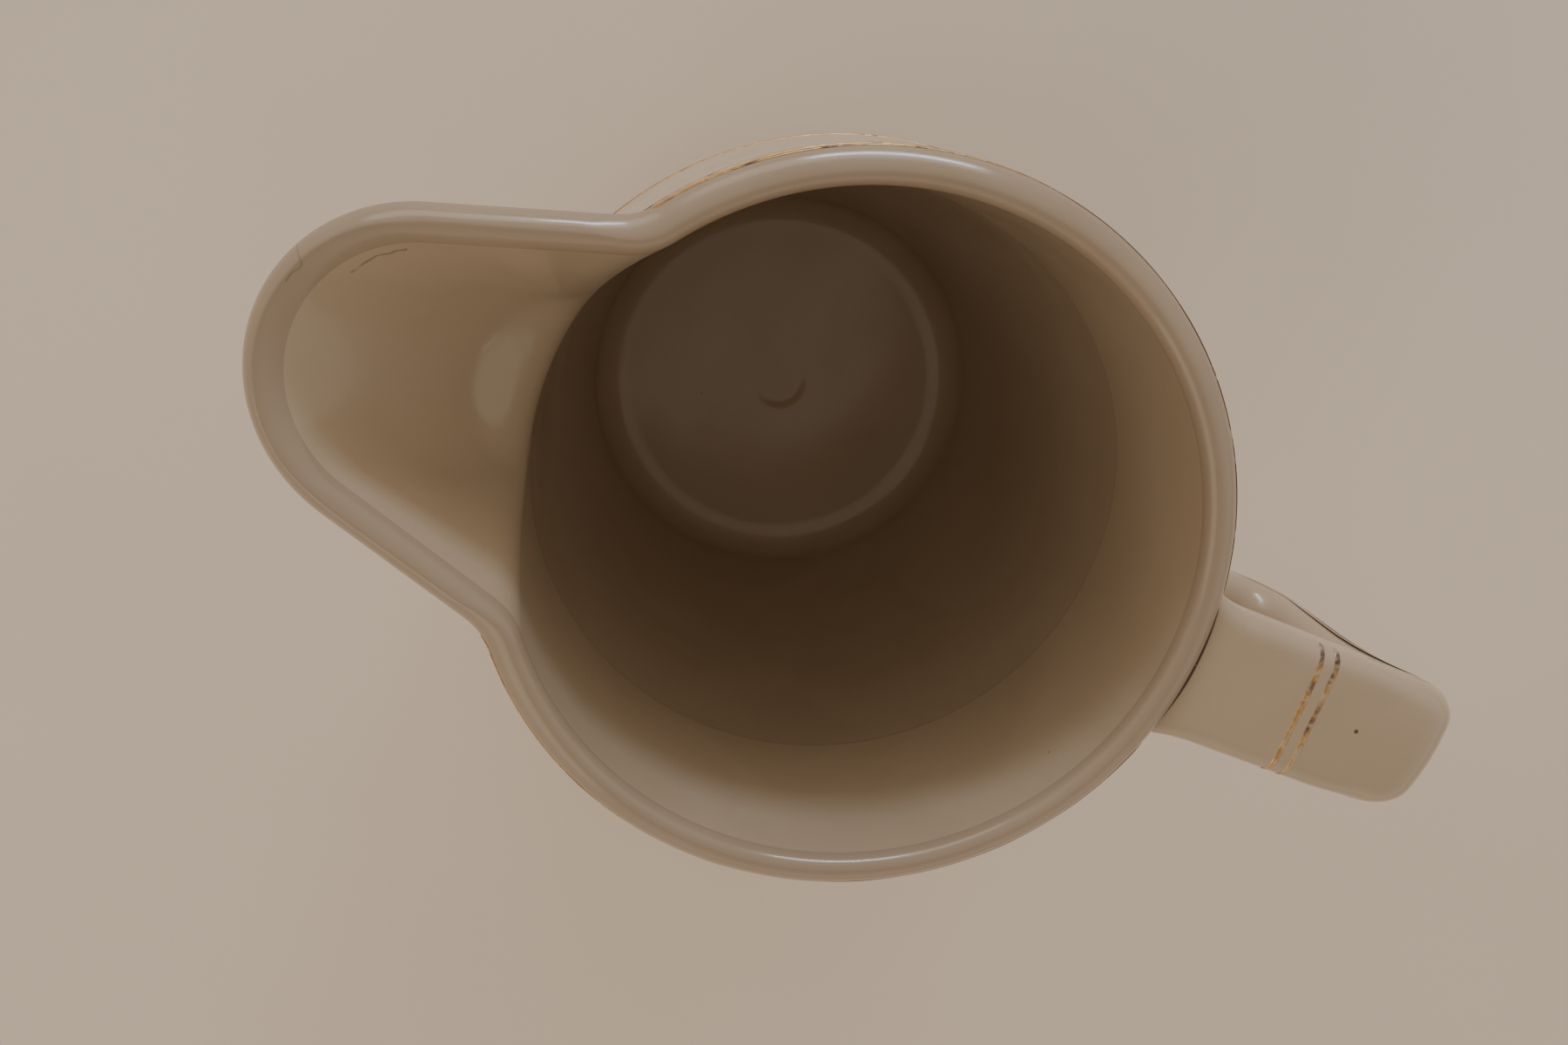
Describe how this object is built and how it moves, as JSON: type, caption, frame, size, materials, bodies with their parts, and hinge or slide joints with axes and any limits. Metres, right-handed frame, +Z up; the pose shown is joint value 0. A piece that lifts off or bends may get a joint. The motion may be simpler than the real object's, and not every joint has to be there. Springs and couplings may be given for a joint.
{
  "type": "ceramic pitcher",
  "caption": "Glazed earthenware pitcher with an open beak spout, a squared loop handle and thin gilt lines, standing on a bare foot ring.",
  "frame": {"origin": "on the pot's axis, in the plane that its foot ring stands on", "axes": "+Z up along the pot's axis, +X towards the tip of the spout with the handle along -X, +Y to the pot's side"},
  "size_m": [0.1915, 0.1128, 0.134],
  "materials": {
    "cream_glaze": "glossy ivory glaze with fine crazing",
    "bare_clay": "unglazed buff body, matt",
    "gilt": "hand-painted gold lustre, worn"
  },
  "bodies": {
    "root": {"foot_ring": "bare_clay", "base_floor": "cream_glaze", "belly_wall": "cream_glaze", "neck_collar": "cream_glaze", "pouring_spout": "cream_glaze", "rim_lip": "cream_glaze", "handle": "cream_glaze", "upper_slip_joint": "cream_glaze", "lower_slip_joint": "cream_glaze", "lip_line_first": "gilt", "lip_line_second": "gilt", "crease_line": "gilt", "handle_line_inner": "gilt", "handle_line_outer": "gilt"}
  },
  "joints": []
}
